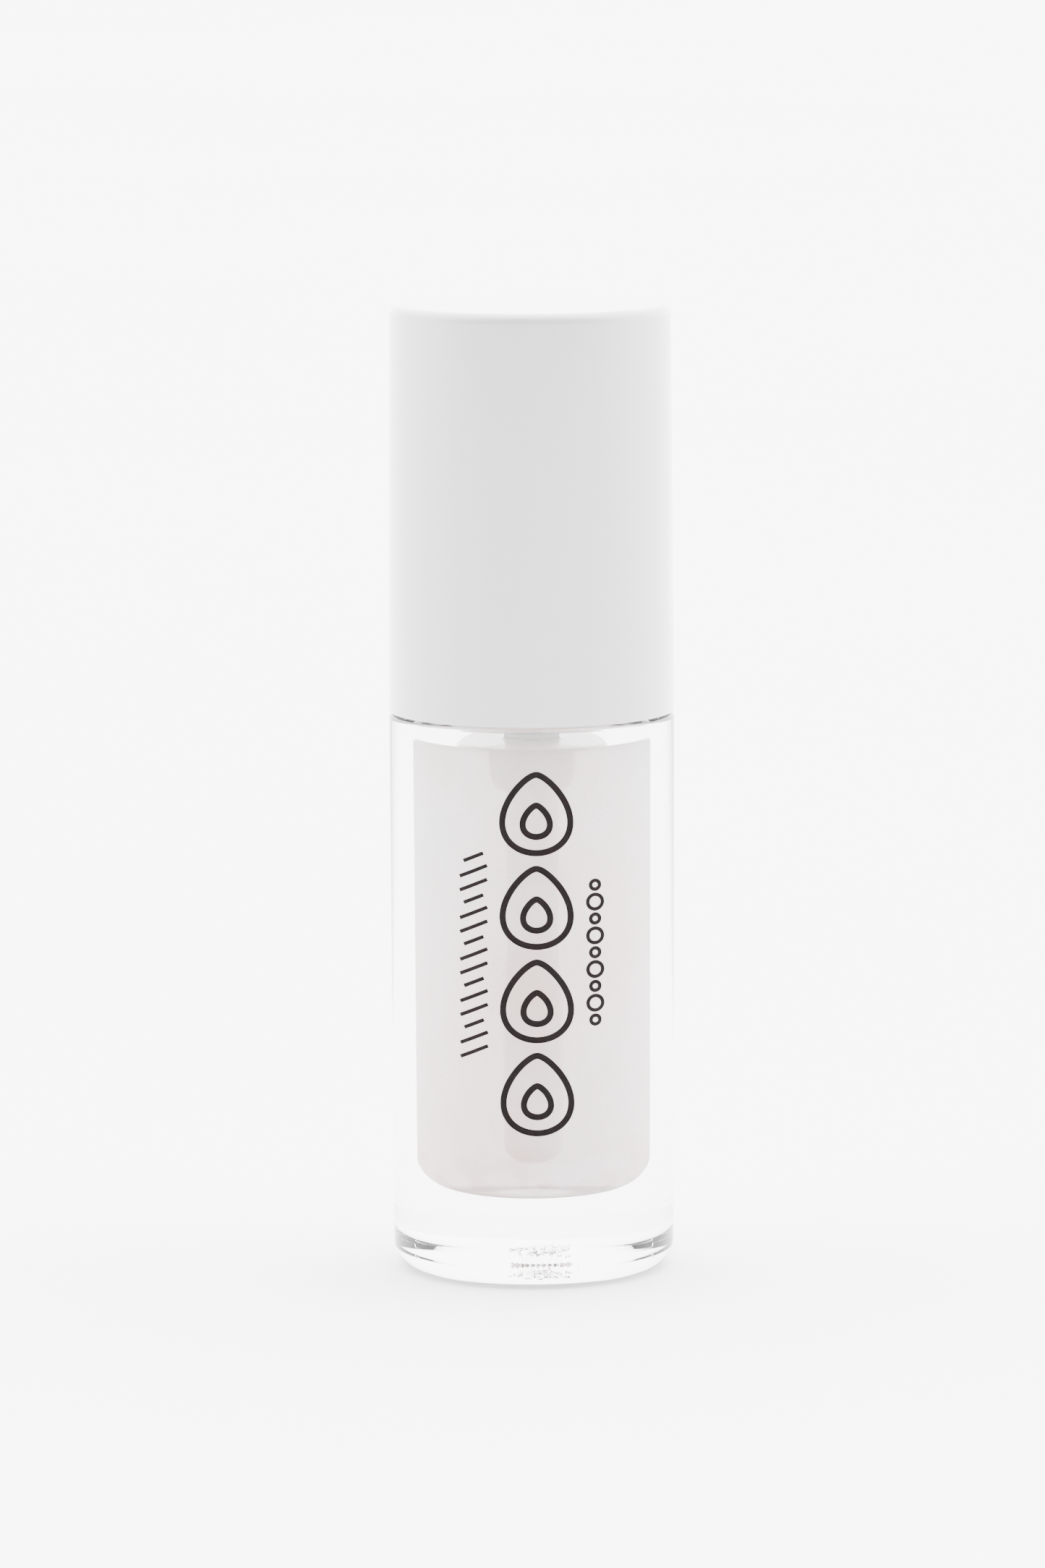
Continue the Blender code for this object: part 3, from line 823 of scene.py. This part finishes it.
def printed(shape, path, width, closed=True):
    """Lay one stroke of ink on the front wall, as a thin closed film along a path of (x, z) points."""
    count = len(path)
    sections = []
    for index in range(count):
        if closed:
            before, after = path[index - 1], path[(index + 1) % count]
        else:
            before, after = path[max(index - 1, 0)], path[min(index + 1, count - 1)]
        along = Vector((after[0] - before[0], after[1] - before[1])).normalized()
        across = Vector((-along.y, along.x)) * width / 2
        section = []
        for side, lift in ((1, INK_GAP), (-1, INK_GAP), (-1, INK_TOP), (1, INK_TOP)):
            x = path[index][0] + side * across.x
            height = path[index][1] + side * across.y
            depth = wall_radius(height) + lift
            section.append(shape.verts.new((x, -math.sqrt(depth * depth - x * x), height)))
        sections.append(section)
    pairs = list(zip(sections, sections[1:]))
    if closed:
        pairs.append((sections[-1], sections[0]))
    else:
        shape.faces.new(reversed(sections[0]))
        shape.faces.new(sections[-1])
    for first, second in pairs:
        for corner in range(4):
            after = (corner + 1) % 4
            shape.faces.new((first[corner], first[after], second[after], second[corner]))


def drop(x, height, half_width, half_height):
    """Outline of a drop with its point upwards."""
    points = []
    for step in range(64):
        turn = math.tau * (step + 0.5) / 64
        swell = math.sin(turn) * (0.35 + 0.65 * math.sin(turn / 2))
        points.append((x + half_width * swell / 0.84, height + half_height * math.cos(turn)))
    return points


def ring(x, height, size):
    points = []
    for step in range(28):
        turn = math.tau * step / 28
        points.append((x + size * math.cos(turn), height + size * math.sin(turn)))
    return points


def build_print():
    """Plain ornament in place of lettering: a column of drops, slanted dashes, and a row of rings."""
    shape = bmesh.new()
    for index in range(DROPS):
        height = PRINT_TOP - DROP_HALF_HEIGHT - index * (2 * DROP_HALF_HEIGHT + DROP_SPACE)
        printed(shape, drop(PRINT_MIDDLE, height, DROP_HALF_WIDTH, DROP_HALF_HEIGHT), BOLD_STROKE)
        inner_width = INNER_DROP_SHARE * DROP_HALF_WIDTH
        inner_height = INNER_DROP_SHARE * DROP_HALF_HEIGHT
        printed(shape, drop(PRINT_MIDDLE, height - INNER_DROP_FALL, inner_width, inner_height), BOLD_STROKE)
    for index in range(DASHES):
        height = DASH_TOP - index * DASH_STEP
        reach = DASH_REACHES[index % 3]
        dash = []
        for share in (-1.0, -0.5, 0.0, 0.5, 1.0):
            dash.append((DASH_MIDDLE + reach * share, height + DASH_SLOPE * reach * share))
        printed(shape, dash, FINE_STROKE, closed=False)
    for index in range(RINGS):
        height = RING_TOP - index * RING_STEP
        printed(shape, ring(RING_MIDDLE, height, RING_SIZES[index % 2]), FINE_STROKE)
    bmesh.ops.recalc_face_normals(shape, faces=shape.faces)
    print_film = finished("front_print", shape, ink())
    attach(print_film, "bottle")


# ---------------------------------------------------------------- stage


def build_floor():
    shape = bmesh.new()
    bmesh.ops.create_circle(shape, cap_ends=True, segments=96, radius=FLOOR_RADIUS)
    ground = finished("studio_floor", shape, pale_floor())
    ground.location.z = -FLOOR_GAP


def build_light():
    """Soft surroundings: bright behind, beside and above the tube, and dim in front of it."""
    world = bpy.data.worlds.new("studio")
    bpy.context.scene.world = world
    world.use_nodes = True
    tree = world.node_tree
    background = tree.nodes["Background"]
    place = tree.nodes.new("ShaderNodeTexCoord")
    split = tree.nodes.new("ShaderNodeSeparateXYZ")
    tree.links.new(place.outputs["Generated"], split.inputs["Vector"])

    def ramp(axis, start, end, low, high, kind="SMOOTHSTEP"):
        made = tree.nodes.new("ShaderNodeMapRange")
        made.interpolation_type = kind
        for key, value in (("From Min", start), ("From Max", end), ("To Min", low), ("To Max", high)):
            made.inputs[key].default_value = value
        tree.links.new(split.outputs[axis], made.inputs["Value"])
        return made.outputs["Result"]

    def combine(operation, first, second):
        made = tree.nodes.new("ShaderNodeMath")
        made.operation = operation
        tree.links.new(first, made.inputs[0])
        tree.links.new(second, made.inputs[1])
        return made.outputs["Value"]

    around = ramp("Y", -0.75, 0.1, FRONT_LIGHT, BACK_LIGHT)
    above = ramp("Z", 0.3, 1.0, 1.0, TOP_SHARE)
    sideways = ramp("X", -1.0, 1.0, *SIDE_SHARES, "LINEAR")
    total = combine("MULTIPLY", combine("MULTIPLY", around, above), sideways)
    tree.links.new(total, background.inputs["Strength"])
    background.inputs["Color"].default_value = (1.0, 0.99, 1.0, 1.0)


def build_camera():
    camera = bpy.data.objects.new("camera", bpy.data.cameras.new("camera"))
    bpy.context.collection.objects.link(camera)
    camera.data.lens = LENS
    camera.data.sensor_width = SENSOR_WIDTH
    back = Vector((0.0, -math.cos(CAMERA_ELEVATION), math.sin(CAMERA_ELEVATION)))
    camera.location = CAMERA_TARGET + back * CAMERA_DISTANCE
    roll = Matrix.Rotation(CAMERA_ROLL, 4, "Z")
    level = (-back).to_track_quat("-Z", "Y").to_matrix().to_4x4()
    camera.rotation_mode = "QUATERNION"
    camera.rotation_quaternion = (level @ roll).to_quaternion()
    camera.data.clip_start = 0.01
    camera.data.clip_end = 50.0
    bpy.context.scene.camera = camera


build_bottle()
build_gloss()
build_wiper()
build_gasket()
build_stem()
build_applicator()
build_insert()
build_cap()
build_print()
build_floor()
build_light()
build_camera()
